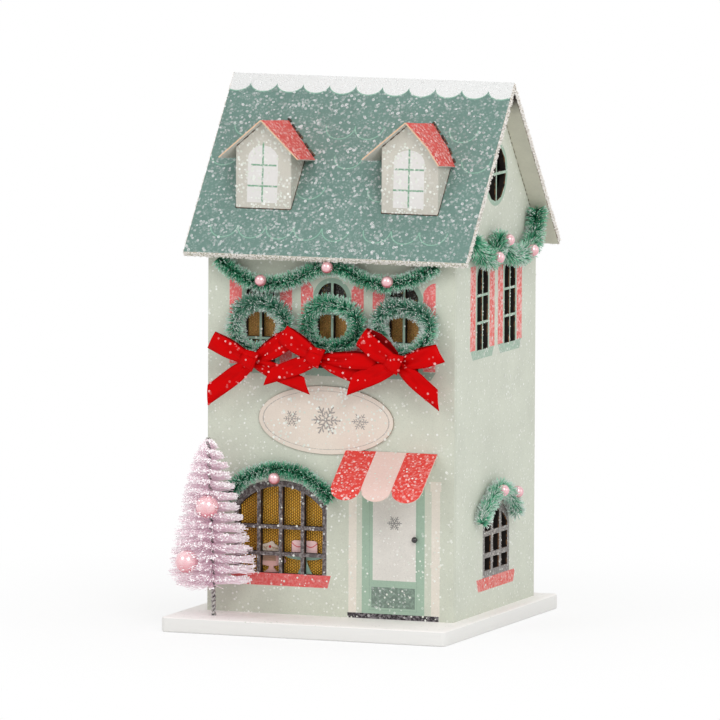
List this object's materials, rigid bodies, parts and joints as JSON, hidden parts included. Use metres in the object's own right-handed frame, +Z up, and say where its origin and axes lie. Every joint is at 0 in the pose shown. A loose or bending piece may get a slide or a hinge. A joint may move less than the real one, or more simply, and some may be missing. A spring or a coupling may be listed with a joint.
{
  "type": "christmas village house",
  "caption": "Tall gabled shop of printed board on a flat base, with dormers, an awning, wreaths, bows, garlands and a brush tree.",
  "frame": {"origin": "middle of the base board's underside", "axes": "+Z up, shop front towards -Y, +X to the right of someone who faces the shop front"},
  "size_m": [0.1238, 0.1356, 0.218],
  "materials": {
    "base_paint": "white satin paint on a plain board",
    "wall_board": "mint printed paper over board, matte, with clear flakes",
    "roof_board": "green printed paper over board, thick with clear flakes",
    "dormer_card": "pale grey card with a printed window",
    "dormer_roof_card": "coral red card with clear flakes",
    "awning_card": "coral and pink stripes on bent card",
    "sign_card": "cream card, matte",
    "window_foil": "gold woven foil",
    "cutout_pink": "printed cut card",
    "cutout_mint": "printed cut card",
    "knob_bead": "black gloss",
    "tinsel": "dark green pile with pale tips",
    "ribbon": "red satin",
    "pearl": "pink pearl",
    "tree_wire": "dull twisted wire",
    "bristle": "lilac fibre with white frosted tips"
  },
  "bodies": {
    "root": {"base_board": "base_paint", "front_wall": "wall_board", "back_wall": "wall_board", "left_gable_wall": "wall_board", "right_gable_wall": "wall_board", "roof_front_panel": "roof_board", "roof_back_panel": "roof_board", "dormer_left_body": "dormer_card", "dormer_left_roof": "dormer_roof_card", "dormer_right_body": "dormer_card", "dormer_right_roof": "dormer_roof_card", "sign_oval": "sign_card", "awning": "awning_card", "shop_window_mesh": "window_foil", "upper_window_mesh": "window_foil", "cake_stand_pink": "cutout_pink", "cake_stand_mint": "cutout_mint", "door_knob": "knob_bead", "wreath_left": "tinsel", "wreath_middle": "tinsel", "wreath_right": "tinsel", "bow_left": "ribbon", "bow_middle": "ribbon", "bow_right": "ribbon", "front_garland": "tinsel", "front_pearl_1": "pearl", "front_pearl_2": "pearl", "front_pearl_3": "pearl", "shop_window_garland": "tinsel", "shop_window_pearl": "pearl", "right_gable_garland": "tinsel", "right_gable_pearl_1": "pearl", "right_gable_pearl_2": "pearl", "right_gable_pearl_3": "pearl", "right_window_garland": "tinsel", "right_window_pearl_1": "pearl", "right_window_pearl_2": "pearl", "left_gable_garland": "tinsel", "left_gable_pearl_1": "pearl", "left_gable_pearl_2": "pearl", "left_gable_pearl_3": "pearl", "left_window_garland": "tinsel", "left_window_pearl_1": "pearl", "left_window_pearl_2": "pearl", "tree_pearl_1": "pearl", "tree_pearl_2": "pearl", "tree_wire": "tree_wire", "tree_bristles_1": "bristle", "tree_bristles_2": "bristle", "tree_bristles_3": "bristle", "tree_bristles_4": "bristle"}
  },
  "joints": []
}
